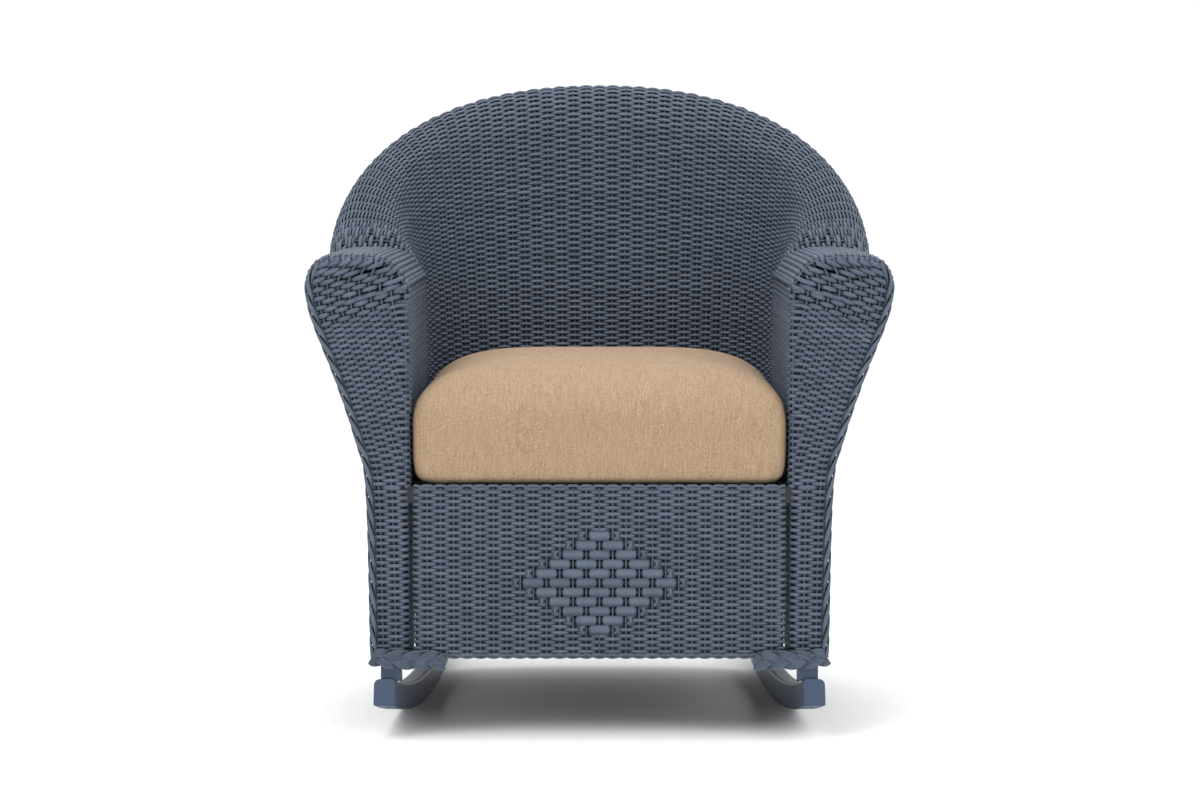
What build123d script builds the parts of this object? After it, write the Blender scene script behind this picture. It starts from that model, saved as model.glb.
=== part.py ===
"""Woven barrel-back rocker on two curved rockers, with a loose seat cushion.

Millimetres. +Z is up, the chair faces -Y, and the origin is on the floor in the middle of
the rockers. The back curves round the vertical axis through the origin, and the arms run
forward from there.
"""
import os
from math import asin, cos, degrees, hypot, radians, sin, tan

from build123d import *

os.makedirs("parts", exist_ok=True)

# Seat, arms and back
seat_height = 340            # top of the seat frame
seat_half_width = 253        # inner face of an arm, from the middle of the chair
seat_back_depth = 180        # inner face of the back behind the axis, at the seat
arm_length = 384             # from the axis to the back of the woven arm front
arm_height = 645             # top of the rolled arm
arm_width = 134              # inner face to outer edge of the rolled arm
arm_half_width = seat_half_width + arm_width
back_height = 885            # top of the rolled back
back_rake = 9                # lean of the inner back, degrees
rim_depth = 303              # top of the rolled back behind the axis
hem_height = 112             # bottom of the weave
seat_power = 3.6             # fullness of the plan curve at the seat, 2 is an ellipse
rim_power = 2.2              # the same at the rolled rim
hem_power = 3.0              # the same at the hem
skin = 8                     # thickness of a woven wall
back_steps = 21              # facets round the back, an odd number

# Apron and braids
apron_gap = 5                # between the apron and an arm front
braid_width = 8
rim_braid_height = 10
hem_braid_width = 12
hem_braid_height = 14
foot_braid_length = 99       # from the outer corner of an arm front inward
foot_braid_height = 28
foot_braid_low = 97

# Frame
leg_size = 27
leg_clearance = 3.5          # between the inner weave and a front leg
frame_width = 20             # seat frame tube, across
frame_depth = 22             # seat frame tube, up and down
# The seat frame reaches inside the weave and ends flush with the legs
frame_inset = frame_width - skin - leg_clearance
leg_back_room = 53           # from the seat's inner back to the hem's, apart from a leg
rail_diameter = 18
stay_diameter = 8
stay_gap = 2.5               # shortens a stay where the back rail climbs past it
hem_rail_size = 8
hem_rail_gap = 0.3           # between the hem rail and the outer weave
apron_rail_size = 10
stretcher_diameter = 14
stretcher_height = 190
stretcher_gap = 0.4          # at the ends of a side stretcher, which meets its legs askew
rear_leg_angle = 30          # place of a rear leg round the back, degrees
stay_steps = (4, 7, 10, 11, 14, 17)   # facets of the back at which a stay stands
bracket_height = 16

# Outer weave at the hem: room for a leg and its clearances between the two walls
outer_half_width = seat_half_width + 2 * skin + 2 * leg_clearance + leg_size
outer_back_depth = seat_back_depth + leg_size + leg_back_room

# Rockers
rocker_radius = 1700
rocker_half_length = 400
rocker_width = 28
rocker_depth = 36
rocker_inset = 8             # inner face at mid length, inside the inner face of an arm
rocker_inner_x = seat_half_width - rocker_inset
rocker_toe = 0.07            # how much the pair closes towards the rear, per mm
rocker_crown = 8             # radius of the upper outer edge
rocker_edge = 3
bolt_diameter = 8
bolt_head = 13
bolt_head_height = 6
bolt_length = 70
bolt_recess = 14             # how far the head sits above the rocker's lower face
bolt_clearance = 0.4
head_clearance = 1.5

# Seat webbing and cushion
strap_width = 45
strap_thickness = 2
long_straps = 5
cross_straps = 6
strap_pitch = 88
first_cross_strap = 52       # from the front of the seat frame to the middle of the first
strap_end_gap = 1            # between a strap's end and the inner weave
soft_gap = 0.4               # between the cushion and what it lies on
cushion_side_gap = 6
cushion_overhang = 12        # how far the cushion reaches ahead of the seat frame
cushion_height = 158
cushion_corner = 45
cover_thickness = 2
zip_steps = (7, 8, 9, 10, 11, 12, 13, 14)     # facets of the back along which the zip runs
zip_height = 8
zip_depth = 3


def plan_radius(half_width, depth, power, angle):
    """Distance from the axis to a rounded plan curve at an angle round the back."""
    across = abs(cos(radians(angle))) / half_width
    back = abs(sin(radians(angle))) / depth
    return (across**power + back**power) ** (-1 / power)


def seat_radius(angle):
    return plan_radius(seat_half_width, seat_back_depth, seat_power, angle)


def hem_radius(angle):
    return plan_radius(outer_half_width, outer_back_depth, hem_power, angle)


def rise(angle):
    """Share of the climb from arm height to back height at an angle round the back."""
    reach = plan_radius(arm_half_width, rim_depth, rim_power, angle)
    return reach * abs(sin(radians(angle))) / rim_depth


def blend(arm_line, back_line, powers, angle):
    """Section line at an angle, between the arm's line and the line at the middle of the back."""
    share = rise(angle)
    return [
        (plan_radius(a[0], b[0], power, angle), a[1] + (b[1] - a[1]) * share)
        for a, b, power in zip(arm_line, back_line, powers)
    ]


def ribbon(line, thickness):
    """Closed outline of a wall to the right of a line, with both ends cut level."""
    normals = []
    for start, end in zip(line, line[1:]):
        length = hypot(end[0] - start[0], end[1] - start[1])
        normals.append(((end[1] - start[1]) / length, (start[0] - end[0]) / length))
    inner = []
    for index, point in enumerate(line):
        before = normals[max(index - 1, 0)]
        after = normals[min(index, len(normals) - 1)]
        total = (before[0] + after[0], before[1] + after[1])
        reach = 2 * thickness / (total[0] ** 2 + total[1] ** 2)
        inner.append((point[0] + total[0] * reach, point[1] + total[1] * reach))
    for end in (0, -1):
        inner[end] = (line[end][0] + thickness / normals[end][0], line[end][1])
    return line + inner[::-1]


def bar_outline(arm_corner, back_corner, width, depth, angle):
    """Rectangle that starts at a corner and reaches out by width and up by depth."""
    low = blend([arm_corner], [back_corner], [rim_power], angle)[0]
    return [
        low,
        (low[0] + width, low[1]),
        (low[0] + width, low[1] + depth),
        (low[0], low[1] + depth),
    ]


def radial_plane(angle):
    """Upright plane through the axis, its X pointing outward at the angle and its Y up."""
    outward = Vector(cos(radians(angle)), sin(radians(angle)), 0)
    return Plane(origin=(0, 0, 0), x_dir=outward, z_dir=outward.cross(Vector(0, 0, 1)))


def section(outline, plane):
    """Face with straight sides on a plane."""
    with BuildSketch(plane) as face:
        with BuildLine():
            Polyline(*outline, close=True)
        make_face()
    return face.sketch


def ring_sections(outline_at):
    """Faces all round the back, from one arm to the other."""
    angles = [180 * step / back_steps for step in range(back_steps + 1)]
    return [section(outline_at(angle), radial_plane(angle)) for angle in angles]


# Section lines of the woven walls, from the seat up over the roll and down the outside.
# The first of each pair is the arm's, the second is at the middle of the back.
lean = tan(radians(back_rake))
arm_roll = [
    (seat_half_width, seat_height),
    (seat_half_width, arm_height - 60),
    (seat_half_width + 5, arm_height - 32),
    (seat_half_width + 20, arm_height - 10),
    (seat_half_width + 45, arm_height),
    (arm_half_width - 37, arm_height),
    (arm_half_width - 13, arm_height - 8),
    (arm_half_width - 1, arm_height - 27),
    (arm_half_width, arm_height - 45),
]
back_roll = [
    (seat_back_depth, seat_height),
    (seat_back_depth + lean * (back_height - 325 - seat_height), back_height - 325),
    (seat_back_depth + lean * (back_height - 235 - seat_height), back_height - 235),
    (seat_back_depth + lean * (back_height - 125 - seat_height), back_height - 125),
    (rim_depth - 41, back_height - 50),
    (rim_depth - 23, back_height - 13),
    (rim_depth, back_height),
    (rim_depth + 19, back_height - 10),
    (rim_depth + 27, back_height - 30),
]
arm_side = [
    (arm_half_width - 0.6, arm_height - 48),
    (arm_half_width - 9, arm_height - 84),
    (arm_half_width - 40, arm_height - 163),
    (outer_half_width + 18, seat_height + 62),
    (outer_half_width + 5, seat_height - 5),
    (outer_half_width, hem_height),
]
back_side = [
    (rim_depth + 26.4, back_height - 33),
    (rim_depth + 22, back_height - 85),
    (rim_depth + 8, back_height - 195),
    (outer_back_depth + 25, seat_height + 220),
    (outer_back_depth + 10, seat_height + 90),
    (outer_back_depth, hem_height),
]


roll_powers = [seat_power, 3.2, 2.9, 2.6, 2.4, rim_power, rim_power, rim_power, rim_power]
side_powers = [rim_power, 2.3, 2.5, 2.7, 2.9, hem_power]


def inner_wall(angle):
    return ribbon(blend(arm_roll, back_roll, roll_powers, angle), skin)


def outer_wall(angle):
    return ribbon(blend(arm_side, back_side, side_powers, angle), skin)


# Rockers: a rounded bar bent to an arc
rocker_across = Vector(1, rocker_toe, 0).normalized()
rocker_along = Vector(-rocker_toe, 1, 0).normalized()
rocker_axis = Vector(rocker_inner_x, 0, rocker_radius)
front_leg_x = seat_half_width + skin + leg_clearance + leg_size / 2
front_leg_y = -arm_length + leg_size / 2
rear_leg_reach = seat_radius(rear_leg_angle) + frame_width - frame_inset + leg_size / 2
rear_leg_x = rear_leg_reach * cos(radians(rear_leg_angle))
rear_leg_y = rear_leg_reach * sin(radians(rear_leg_angle))


def rocker_floor(y):
    """Height of a rocker's lower face at a distance from the middle."""
    return rocker_radius - (rocker_radius**2 - y**2) ** 0.5


def bolt_place(leg_x, leg_y):
    """Midway between the middle of a leg and the middle of the rocker under it."""
    rocker_middle = rocker_inner_x - rocker_toe * leg_y + rocker_width / 2
    return ((leg_x + rocker_middle) / 2, leg_y)


front_bolt = bolt_place(front_leg_x, front_leg_y)
rear_bolt = bolt_place(rear_leg_x, rear_leg_y)
bolt_places = [front_bolt, rear_bolt]

half_turn = asin(rocker_half_length / rocker_radius)
toward_axis = rocker_along * sin(half_turn) + Vector(0, 0, cos(half_turn))
front_end = rocker_axis - rocker_along * rocker_half_length
front_end -= Vector(0, 0, rocker_radius * cos(half_turn))
rocker_section = Plane(
    origin=front_end, x_dir=rocker_across, z_dir=rocker_across.cross(toward_axis)
)

with BuildPart() as rocker_right:
    with BuildSketch(rocker_section) as bar:
        with Locations((rocker_width / 2, rocker_depth / 2)):
            Rectangle(rocker_width, rocker_depth)
        inner_top = bar.vertices().group_by(Axis.Y)[-1].sort_by(Axis.X)[0]
        fillet(bar.vertices().group_by(Axis.Y)[0] + [inner_top], radius=rocker_edge)
        outer_top = bar.vertices().group_by(Axis.Y)[-1].sort_by(Axis.X)[-1]
        fillet(outer_top, radius=rocker_crown)
    revolve(axis=Axis(rocker_axis, rocker_across), revolution_arc=degrees(2 * half_turn))
    for x, y in bolt_places:
        seat = rocker_floor(y) + bolt_recess
        with BuildSketch(Plane.XY):
            with Locations((x, y)):
                Circle((bolt_diameter + bolt_clearance) / 2)
        extrude(amount=seat + bolt_length, mode=Mode.SUBTRACT)
        with BuildSketch(Plane.XY):
            with Locations((x, y)):
                Circle((bolt_head + head_clearance) / 2)
        extrude(amount=seat, mode=Mode.SUBTRACT)
rocker_right.part.label = "rocker_right"
export_step(rocker_right.part, "parts/rocker_right.step")

with BuildPart() as rocker_left:
    mirror(rocker_right.part, about=Plane.YZ)
rocker_left.part.label = "rocker_left"
export_step(rocker_left.part, "parts/rocker_left.step")

with BuildPart() as rocker_bolts:
    for x, y in bolt_places:
        seat = rocker_floor(y) + bolt_recess
        for side in (-1, 1):
            with BuildSketch(Plane.XY.offset(seat)):
                with Locations((side * x, y)):
                    Circle(bolt_diameter / 2)
            extrude(amount=bolt_length)
            with BuildSketch(Plane.XY.offset(seat - bolt_head_height)):
                with Locations((side * x, y)):
                    Circle(bolt_head / 2)
            extrude(amount=bolt_head_height)
rocker_bolts.part.label = "rocker_bolts"
export_step(rocker_bolts.part, "parts/rocker_bolts.step")


def above_rocker():
    """Disc that reaches down to the top of the rocker, wide enough for a leg."""
    low = rocker_axis - rocker_across * leg_size
    with BuildSketch(Plane(origin=low, x_dir=rocker_along, z_dir=rocker_across)) as disc:
        Circle(rocker_radius - rocker_depth)
    return disc.sketch


# Legs, cut to the top of the rockers and bored for the bolts
front_leg_top = arm_height - 65
with BuildPart() as front_leg_right:
    with BuildSketch(Plane.XY):
        with Locations((front_leg_x, front_leg_y)):
            Rectangle(leg_size, leg_size)
    extrude(amount=front_leg_top)
    extrude(above_rocker(), amount=rocker_width + 2 * leg_size, mode=Mode.INTERSECT)
    with BuildSketch(Plane.XY):
        with Locations(front_bolt):
            Circle(bolt_diameter / 2)
    extrude(amount=rocker_floor(front_leg_y) + bolt_recess + bolt_length, mode=Mode.SUBTRACT)
front_leg_right.part.label = "front_leg_right"
export_step(front_leg_right.part, "parts/front_leg_right.step")

with BuildPart() as front_leg_left:
    mirror(front_leg_right.part, about=Plane.YZ)
front_leg_left.part.label = "front_leg_left"
export_step(front_leg_left.part, "parts/front_leg_left.step")

with BuildPart() as rear_leg_right:
    with BuildSketch(Plane.XY):
        with Locations((rear_leg_x, rear_leg_y)):
            Circle(leg_size / 2)
    extrude(amount=seat_height)
    extrude(above_rocker(), amount=rocker_width + 2 * leg_size, mode=Mode.INTERSECT)
    with BuildSketch(Plane.XY):
        with Locations(rear_bolt):
            Circle(bolt_diameter / 2)
    extrude(amount=rocker_floor(rear_leg_y) + bolt_recess + bolt_length, mode=Mode.SUBTRACT)
rear_leg_right.part.label = "rear_leg_right"
export_step(rear_leg_right.part, "parts/rear_leg_right.step")

with BuildPart() as rear_leg_left:
    mirror(rear_leg_right.part, about=Plane.YZ)
rear_leg_left.part.label = "rear_leg_left"
export_step(rear_leg_left.part, "parts/rear_leg_left.step")

# Seat frame: one tube all round, on the insides of the legs
frame_low = seat_height - frame_depth
frame_inner_x = seat_half_width - frame_inset
frame_outer_x = frame_inner_x + frame_width


def frame_outline(angle):
    inner = seat_radius(angle) - frame_inset
    return [
        (inner, frame_low),
        (inner + frame_width, frame_low),
        (inner + frame_width, seat_height),
        (inner, seat_height),
    ]


with BuildPart() as seat_frame:
    loft(sections=ring_sections(frame_outline), ruled=True)
    for side in (-1, 1):
        with BuildSketch(Plane.XY.offset(frame_low)):
            with Locations((side * (frame_inner_x + frame_width / 2), -arm_length / 2)):
                Rectangle(frame_width, arm_length)
        extrude(amount=frame_depth)
    with BuildSketch(Plane.XY.offset(frame_low)):
        with Locations((0, -arm_length + frame_width / 2)):
            Rectangle(2 * frame_outer_x, frame_width)
    extrude(amount=frame_depth)
seat_frame.part.label = "seat_frame"
export_step(seat_frame.part, "parts/seat_frame.step")

# Arm brackets on the front legs, and the rails that carry the roll
bracket_end = arm_half_width - skin - 10
with BuildPart() as arm_bracket_right:
    with BuildSketch(Plane.XY.offset(front_leg_top)):
        with Locations(((front_leg_x - leg_size / 2 + bracket_end) / 2, front_leg_y)):
            Rectangle(bracket_end - front_leg_x + leg_size / 2, leg_size)
    extrude(amount=bracket_height)
arm_bracket_right.part.label = "arm_bracket_right"
export_step(arm_bracket_right.part, "parts/arm_bracket_right.step")

with BuildPart() as arm_bracket_left:
    mirror(arm_bracket_right.part, about=Plane.YZ)
arm_bracket_left.part.label = "arm_bracket_left"
export_step(arm_bracket_left.part, "parts/arm_bracket_left.step")

rail_radius = rail_diameter / 2
arm_rail_x = arm_half_width - 37
arm_rail_z = front_leg_top + bracket_height + rail_radius
back_rail_depth = rim_depth - 3
back_rail_z = back_height - 24


def octagon(center, radius):
    turns = [radians(22.5 + 45 * corner) for corner in range(8)]
    return [(center[0] + radius * cos(turn), center[1] + radius * sin(turn)) for turn in turns]


def rail_center(angle):
    arm_place = (arm_rail_x, arm_rail_z)
    back_place = (back_rail_depth, back_rail_z)
    return blend([arm_place], [back_place], [rim_power], angle)[0]


with BuildPart() as arm_rail_right:
    with BuildSketch(Plane.XZ):
        with Locations((arm_rail_x, arm_rail_z)):
            Circle(rail_radius)
    extrude(amount=arm_length)
arm_rail_right.part.label = "arm_rail_right"
export_step(arm_rail_right.part, "parts/arm_rail_right.step")

with BuildPart() as arm_rail_left:
    mirror(arm_rail_right.part, about=Plane.YZ)
arm_rail_left.part.label = "arm_rail_left"
export_step(arm_rail_left.part, "parts/arm_rail_left.step")

with BuildPart() as back_rail:
    loft(
        sections=ring_sections(lambda angle: octagon(rail_center(angle), rail_radius)),
        ruled=True,
    )
back_rail.part.label = "back_rail"
export_step(back_rail.part, "parts/back_rail.step")

# Back stays: rods from the outside of the seat frame up to the underside of the back rail
with BuildPart() as back_stays:
    for step in stay_steps:
        angle = 180 * step / back_steps
        outward = Vector(cos(radians(angle)), sin(radians(angle)), 0)
        foot_reach = seat_radius(angle) - frame_inset + frame_width + stay_diameter / 2
        rail_reach, rail_z = rail_center(angle)
        start = outward * foot_reach + Vector(0, 0, frame_low)
        finish = outward * rail_reach + Vector(0, 0, rail_z)
        run = finish - start
        with BuildSketch(Plane(origin=start, z_dir=run)):
            Circle(stay_diameter / 2)
        extrude(amount=run.length - rail_radius - stay_gap)
back_stays.part.label = "back_stays"
export_step(back_stays.part, "parts/back_stays.step")

# Lower rails and stretchers
with BuildPart() as apron_rail:
    with BuildSketch(Plane.XY.offset(hem_height)):
        with Locations((0, -arm_length + apron_rail_size / 2)):
            Rectangle(2 * (front_leg_x - leg_size / 2), apron_rail_size)
    extrude(amount=apron_rail_size)
apron_rail.part.label = "apron_rail"
export_step(apron_rail.part, "parts/apron_rail.step")

hem_outer = skin + hem_rail_gap
hem_inner = hem_outer + hem_rail_size
hem_run = arm_length - leg_size
with BuildPart() as hem_rail:
    loft(
        sections=ring_sections(
            lambda angle: [
                (hem_radius(angle) - reach, height)
                for reach, height in (
                    (hem_inner, hem_height),
                    (hem_outer, hem_height),
                    (hem_outer, hem_height + hem_rail_size),
                    (hem_inner, hem_height + hem_rail_size),
                )
            ]
        ),
        ruled=True,
    )
    for side in (-1, 1):
        with BuildSketch(Plane.XY.offset(hem_height)):
            with Locations((side * (outer_half_width - hem_outer - hem_rail_size / 2), -hem_run / 2)):
                Rectangle(hem_rail_size, hem_run)
        extrude(amount=hem_rail_size)
hem_rail.part.label = "hem_rail"
export_step(hem_rail.part, "parts/hem_rail.step")

with BuildPart() as side_stretcher_right:
    start = Vector(front_leg_x, front_leg_y + leg_size / 2 + stretcher_gap, stretcher_height)
    middle = Vector(rear_leg_x, rear_leg_y, stretcher_height)
    run = middle - start
    with BuildSketch(Plane(origin=start, z_dir=run)):
        Circle(stretcher_diameter / 2)
    extrude(amount=run.length - leg_size / 2)
side_stretcher_right.part.label = "side_stretcher_right"
export_step(side_stretcher_right.part, "parts/side_stretcher_right.step")

with BuildPart() as side_stretcher_left:
    mirror(side_stretcher_right.part, about=Plane.YZ)
side_stretcher_left.part.label = "side_stretcher_left"
export_step(side_stretcher_left.part, "parts/side_stretcher_left.step")

with BuildPart() as rear_stretcher:
    with BuildSketch(Plane.YZ):
        with Locations((rear_leg_y, stretcher_height)):
            Circle(stretcher_diameter / 2)
    extrude(amount=rear_leg_x - leg_size / 2, both=True)
rear_stretcher.part.label = "rear_stretcher"
export_step(rear_stretcher.part, "parts/rear_stretcher.step")


# Seat webbing: straps on top of the seat frame, trimmed to the inside of the weave
def seat_plan(inset, front):
    """Outline of the seat from above, a distance inside the inner weave."""
    half = seat_half_width - inset
    points = [(-half, front), (half, front)]
    for step in range(back_steps + 1):
        angle = 180 * step / back_steps
        reach = seat_radius(angle) - inset
        points.append((reach * cos(radians(angle)), reach * sin(radians(angle))))
    return points


strap_front = -arm_length + 1
strap_run = arm_length + seat_back_depth
with BuildPart() as long_webbing:
    with BuildSketch(Plane.XY.offset(seat_height)):
        for number in range(long_straps):
            with Locations(((number - (long_straps - 1) / 2) * strap_pitch, 0)):
                Rectangle(strap_width, 2 * strap_run)
        with BuildLine():
            Polyline(*seat_plan(strap_end_gap, strap_front), close=True)
        make_face(mode=Mode.INTERSECT)
    extrude(amount=strap_thickness)
long_webbing.part.label = "long_webbing"
export_step(long_webbing.part, "parts/long_webbing.step")

with BuildPart() as cross_webbing:
    with BuildSketch(Plane.XY.offset(seat_height + strap_thickness)):
        for number in range(cross_straps):
            with Locations((0, -arm_length + first_cross_strap + number * strap_pitch)):
                Rectangle(2 * seat_half_width, strap_width)
        with BuildLine():
            Polyline(*seat_plan(strap_end_gap, strap_front), close=True)
        make_face(mode=Mode.INTERSECT)
    extrude(amount=strap_thickness)
cross_webbing.part.label = "cross_webbing"
export_step(cross_webbing.part, "parts/cross_webbing.step")

# Woven walls
with BuildPart() as arm_weave_right:
    extrude(section(inner_wall(0), radial_plane(0)), amount=arm_length)
arm_weave_right.part.label = "arm_weave_right"
export_step(arm_weave_right.part, "parts/arm_weave_right.step")

with BuildPart() as arm_weave_left:
    mirror(arm_weave_right.part, about=Plane.YZ)
arm_weave_left.part.label = "arm_weave_left"
export_step(arm_weave_left.part, "parts/arm_weave_left.step")

with BuildPart() as side_weave_right:
    extrude(section(outer_wall(0), radial_plane(0)), amount=arm_length)
side_weave_right.part.label = "side_weave_right"
export_step(side_weave_right.part, "parts/side_weave_right.step")

with BuildPart() as side_weave_left:
    mirror(side_weave_right.part, about=Plane.YZ)
side_weave_left.part.label = "side_weave_left"
export_step(side_weave_left.part, "parts/side_weave_left.step")

with BuildPart() as back_weave_inner:
    loft(sections=ring_sections(inner_wall), ruled=True)
back_weave_inner.part.label = "back_weave_inner"
export_step(back_weave_inner.part, "parts/back_weave_inner.step")

with BuildPart() as back_weave_outer:
    loft(sections=ring_sections(outer_wall), ruled=True)
back_weave_outer.part.label = "back_weave_outer"
export_step(back_weave_outer.part, "parts/back_weave_outer.step")

front_plane = Plane.XZ.offset(arm_length)
with BuildPart() as arm_front_right:
    with BuildSketch(front_plane):
        with BuildLine():
            Polyline(
                (seat_half_width, hem_height), *arm_roll, *arm_side, close=True
            )
        make_face()
    extrude(amount=skin)
arm_front_right.part.label = "arm_front_right"
export_step(arm_front_right.part, "parts/arm_front_right.step")

with BuildPart() as arm_front_left:
    mirror(arm_front_right.part, about=Plane.YZ)
arm_front_left.part.label = "arm_front_left"
export_step(arm_front_left.part, "parts/arm_front_left.step")

with BuildPart() as apron_weave:
    with BuildSketch(front_plane):
        with Locations((0, (hem_height + seat_height) / 2)):
            Rectangle(2 * (seat_half_width - apron_gap), seat_height - hem_height)
    extrude(amount=skin)
apron_weave.part.label = "apron_weave"
export_step(apron_weave.part, "parts/apron_weave.step")

# Braids
with BuildPart() as arm_braid_right:
    with BuildSketch(front_plane):
        with BuildLine():
            Polyline(*ribbon(arm_roll[-3:] + arm_side, -braid_width), close=True)
        make_face()
    extrude(amount=skin)
arm_braid_right.part.label = "arm_braid_right"
export_step(arm_braid_right.part, "parts/arm_braid_right.step")

with BuildPart() as arm_braid_left:
    mirror(arm_braid_right.part, about=Plane.YZ)
arm_braid_left.part.label = "arm_braid_left"
export_step(arm_braid_left.part, "parts/arm_braid_left.step")

rim_arm = (arm_half_width, arm_height - 45 - rim_braid_height / 2)
rim_back = (rim_depth + 27, back_height - 30 - rim_braid_height / 2)


def rim_outline(angle):
    return bar_outline(rim_arm, rim_back, braid_width, rim_braid_height, angle)


def hem_outline(angle):
    inner = hem_radius(angle) - skin
    return [
        (inner, hem_height - hem_braid_height),
        (inner + hem_braid_width, hem_height - hem_braid_height),
        (inner + hem_braid_width, hem_height),
        (inner, hem_height),
    ]


with BuildPart() as rim_braid:
    loft(sections=ring_sections(rim_outline), ruled=True)
    extrude(section(rim_outline(0), radial_plane(0)), amount=arm_length)
    extrude(section(rim_outline(180), radial_plane(180)), amount=-arm_length)
rim_braid.part.label = "rim_braid"
export_step(rim_braid.part, "parts/rim_braid.step")

with BuildPart() as hem_braid:
    loft(sections=ring_sections(hem_outline), ruled=True)
    extrude(section(hem_outline(0), radial_plane(0)), amount=arm_length)
    extrude(section(hem_outline(180), radial_plane(180)), amount=-arm_length)
hem_braid.part.label = "hem_braid"
export_step(hem_braid.part, "parts/hem_braid.step")

foot_outer = outer_half_width + hem_braid_width - skin
with BuildPart() as foot_braid_right:
    with BuildSketch(front_plane.offset(skin)):
        with Locations(
            (foot_outer - foot_braid_length / 2, foot_braid_low + foot_braid_height / 2)
        ):
            RectangleRounded(foot_braid_length, foot_braid_height, foot_braid_height / 3)
    extrude(amount=braid_width)
foot_braid_right.part.label = "foot_braid_right"
export_step(foot_braid_right.part, "parts/foot_braid_right.step")

with BuildPart() as foot_braid_left:
    mirror(foot_braid_right.part, about=Plane.YZ)
foot_braid_left.part.label = "foot_braid_left"
export_step(foot_braid_left.part, "parts/foot_braid_left.step")

# Cushion: layers from the bottom up, each a share of the height and an inset of the outline
cushion_layers = [
    (0.00, 34),
    (0.05, 12),
    (0.14, 3),
    (0.28, 0),
    (0.55, 0),
    (0.72, 5),
    (0.86, 20),
    (0.94, 44),
    (0.98, 80),
    (1.00, 140),
]
cushion_low = seat_height + 2 * strap_thickness + soft_gap
corner_steps = 4


def cushion_plan(inset):
    """Cushion outline from above: rounded front corners and a back that follows the weave."""
    half = seat_half_width - cushion_side_gap - inset
    front = -arm_length - cushion_overhang + inset
    corner = max(cushion_corner - inset / 2, 10)
    points = []
    for side, first in ((-1, 180), (1, 270)):
        for step in range(corner_steps + 1):
            turn = radians(first + 90 * step / corner_steps)
            points.append(
                (side * (half - corner) + corner * cos(turn), front + corner + corner * sin(turn))
            )
    for step in range(back_steps + 1):
        angle = 180 * step / back_steps
        depth = seat_back_depth - cushion_side_gap - inset
        reach = plan_radius(half, depth, seat_power, angle)
        points.append((reach * cos(radians(angle)), reach * sin(radians(angle))))
    return points


def cushion_sections(shell):
    """Layers of the cushion, a shell's thickness inside its cover."""
    low = cushion_low + shell
    height = cushion_height - 2 * shell
    return [
        section(cushion_plan(inset + shell), Plane.XY.offset(low + share * height))
        for share, inset in cushion_layers
    ]


with BuildPart() as cushion_foam:
    loft(sections=cushion_sections(cover_thickness), ruled=True)
cushion_foam.part.label = "cushion_foam"
export_step(cushion_foam.part, "parts/cushion_foam.step")

with BuildPart() as cushion_cover:
    loft(sections=cushion_sections(0), ruled=True)
    add(cushion_foam.part, mode=Mode.SUBTRACT)
cushion_cover.part.label = "cushion_cover"
export_step(cushion_cover.part, "parts/cushion_cover.step")

zip_low = cushion_low + cushion_height * (cushion_layers[3][0] + cushion_layers[4][0]) / 2
with BuildPart() as cushion_zip:
    zip_sections = []
    for step in zip_steps:
        angle = 180 * step / back_steps
        half = seat_half_width - cushion_side_gap
        depth = seat_back_depth - cushion_side_gap
        inner = plan_radius(half, depth, seat_power, angle)
        outline = [
            (inner, zip_low),
            (inner + zip_depth, zip_low),
            (inner + zip_depth, zip_low + zip_height),
            (inner, zip_low + zip_height),
        ]
        zip_sections.append(section(outline, radial_plane(angle)))
    loft(sections=zip_sections, ruled=True)
cushion_zip.part.label = "cushion_zip"
export_step(cushion_zip.part, "parts/cushion_zip.step")
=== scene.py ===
import bpy
import math

import numpy as np
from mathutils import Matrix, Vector


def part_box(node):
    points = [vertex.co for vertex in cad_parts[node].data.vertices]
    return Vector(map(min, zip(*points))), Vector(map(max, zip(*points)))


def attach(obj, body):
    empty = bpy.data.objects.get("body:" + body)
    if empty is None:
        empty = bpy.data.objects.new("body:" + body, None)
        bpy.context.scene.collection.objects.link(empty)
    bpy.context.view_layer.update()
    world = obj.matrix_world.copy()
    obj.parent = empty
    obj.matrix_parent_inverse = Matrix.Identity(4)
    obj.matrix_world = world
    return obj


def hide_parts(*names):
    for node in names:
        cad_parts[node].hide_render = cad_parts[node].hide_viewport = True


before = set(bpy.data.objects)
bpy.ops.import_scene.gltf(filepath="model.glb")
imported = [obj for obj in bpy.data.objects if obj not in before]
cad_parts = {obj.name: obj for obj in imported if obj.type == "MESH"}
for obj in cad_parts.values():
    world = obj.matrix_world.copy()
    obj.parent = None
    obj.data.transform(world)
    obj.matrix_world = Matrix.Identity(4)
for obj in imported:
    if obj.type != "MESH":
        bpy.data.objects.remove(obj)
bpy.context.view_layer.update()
rng = np.random.default_rng(7)
print("frame loaded")


# surfaces


def smoothLine(points, steps):
    # Catmull-Rom curve through the points along the second last axis
    p = np.asarray(points, float)
    first = 2 * p[..., :1, :] - p[..., 1:2, :]
    last = 2 * p[..., -1:, :] - p[..., -2:-1, :]
    q = np.concatenate([first, p, last], axis=-2)
    t = np.linspace(0, 1, steps, endpoint=False)[:, None]
    a, b, c, d = (q[..., i : i + p.shape[-2] - 1, None, :] for i in range(4))
    curve = 0.5 * (
        2 * b
        + (c - a) * t
        + (2 * a - 5 * b + 4 * c - d) * t**2
        + (3 * b - a - 3 * c + d) * t**3
    )
    shape = p.shape[:-2] + ((p.shape[-2] - 1) * steps, p.shape[-1])
    return np.concatenate([curve.reshape(shape), p[..., -1:, :]], axis=-2)


def unit(v):
    return v / np.maximum(np.linalg.norm(v, axis=-1, keepdims=True), 1e-12)


def alongLine(line):
    step = np.linalg.norm(np.diff(line, axis=-2), axis=-1)
    return np.concatenate([np.zeros(step.shape[:-1] + (1,)), np.cumsum(step, -1)], -1)


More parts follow.
